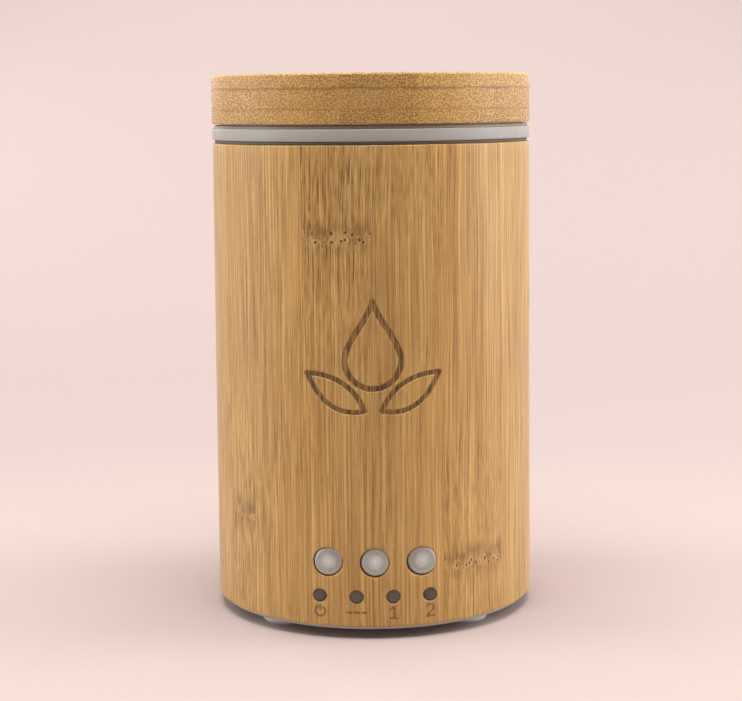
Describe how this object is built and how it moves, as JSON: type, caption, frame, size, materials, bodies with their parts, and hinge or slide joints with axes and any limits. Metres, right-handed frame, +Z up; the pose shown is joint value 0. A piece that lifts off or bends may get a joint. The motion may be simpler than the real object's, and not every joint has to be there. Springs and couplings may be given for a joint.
{
  "type": "ultrasonic essential oil diffuser",
  "caption": "Tabletop ultrasonic aroma diffuser: round laminated bamboo housing with a lift-off bamboo lid, frosted light ring, mist outlet on top, push buttons and indicators on the front.",
  "frame": {"origin": "centre of the round footprint on the plane the feet rest on", "axes": "+Z up along the housing's axis, -Y towards the push buttons"},
  "size_m": [0.0904, 0.0904, 0.1505],
  "materials": {
    "bamboo": "laminated bamboo, light oil finish",
    "frosted_plastic": "frosted translucent grey",
    "tank_plastic": "satin white polypropylene",
    "base_plastic": "fine texture, warm grey",
    "foot_rubber": "matte",
    "seal_rubber": "matte",
    "smoked_plastic": "smoked, polished tip",
    "screw_steel": "plated",
    "circuit_board": "solder mask",
    "black_plastic": "moulded",
    "white_plastic": "moulded",
    "disc_metal": "plated",
    "copper_coil": "enamelled copper winding",
    "capacitor_sleeve": "shrink sleeve",
    "heatsink_aluminium": "plain",
    "dark_wire": "insulation",
    "light_wire": "insulation"
  },
  "bodies": {
    "base": {"air_duct": "white_plastic", "bamboo_shell": "bamboo", "base_plate": "base_plastic", "base_screw_1": "screw_steel", "base_screw_2": "screw_steel", "base_screw_3": "screw_steel", "base_screw_4": "screw_steel", "board_screw_1": "screw_steel", "board_screw_2": "screw_steel", "button_board": "circuit_board", "button_guide": "white_plastic", "ceramic_disc": "disc_metal", "control_lead": "light_wire", "dc_jack": "black_plastic", "disc_lead": "light_wire", "disc_retainer": "white_plastic", "disc_seal": "seal_rubber", "driver_board": "circuit_board", "driver_capacitor": "capacitor_sleeve", "driver_chip": "black_plastic", "driver_inductor": "copper_coil", "fan_frame": "black_plastic", "fan_lead": "dark_wire", "fan_screw_1": "screw_steel", "fan_screw_2": "screw_steel", "foot_front_left": "foot_rubber", "foot_front_right": "foot_rubber", "foot_rear_left": "foot_rubber", "foot_rear_right": "foot_rubber", "jack_lead": "dark_wire", "led_window_1": "smoked_plastic", "led_window_2": "smoked_plastic", "led_window_3": "smoked_plastic", "led_window_4": "smoked_plastic", "light_ring": "frosted_plastic", "power_transistor": "black_plastic", "retainer_screw_1": "screw_steel", "retainer_screw_2": "screw_steel", "shell_seal": "seal_rubber", "standoff_post_1": "white_plastic", "standoff_post_2": "white_plastic", "standoff_post_3": "white_plastic", "standoff_post_4": "white_plastic", "tact_switch_centre": "white_plastic", "tact_switch_left": "white_plastic", "tact_switch_right": "white_plastic", "transistor_heatsink": "heatsink_aluminium", "water_tank": "tank_plastic"},
    "lid": {"bamboo_lid": "bamboo", "lid_inner_cover": "tank_plastic", "lid_screw_1": "screw_steel", "lid_screw_2": "screw_steel", "lid_screw_3": "screw_steel"},
    "left_button": {"button_left": "frosted_plastic", "switch_plunger_left": "black_plastic"},
    "centre_button": {"button_centre": "frosted_plastic", "switch_plunger_centre": "black_plastic"},
    "right_button": {"button_right": "frosted_plastic", "switch_plunger_right": "black_plastic"},
    "fan_rotor": {"fan_rotor": "black_plastic"}
  },
  "joints": [
    {"name": "lid_lift", "type": "slide", "parent": "base", "child": "lid", "axis": [0, 0, 1], "range_m": [0, 0.06]},
    {"name": "left_button_press", "type": "slide", "parent": "base", "child": "left_button", "axis": [0, 1, 0], "range_m": [0, 0.0006], "stiffness_N_per_m": 1000, "springref_m": -0.0008},
    {"name": "centre_button_press", "type": "slide", "parent": "base", "child": "centre_button", "axis": [0, 1, 0], "range_m": [0, 0.0006], "stiffness_N_per_m": 1000, "springref_m": -0.0008},
    {"name": "right_button_press", "type": "slide", "parent": "base", "child": "right_button", "axis": [0, 1, 0], "range_m": [0, 0.0006], "stiffness_N_per_m": 1000, "springref_m": -0.0008},
    {"name": "fan_spin", "type": "hinge", "parent": "base", "child": "fan_rotor", "pos_m": [0, 0.002, 0.0118], "axis": [0, 0, 1], "continuous": true}
  ]
}
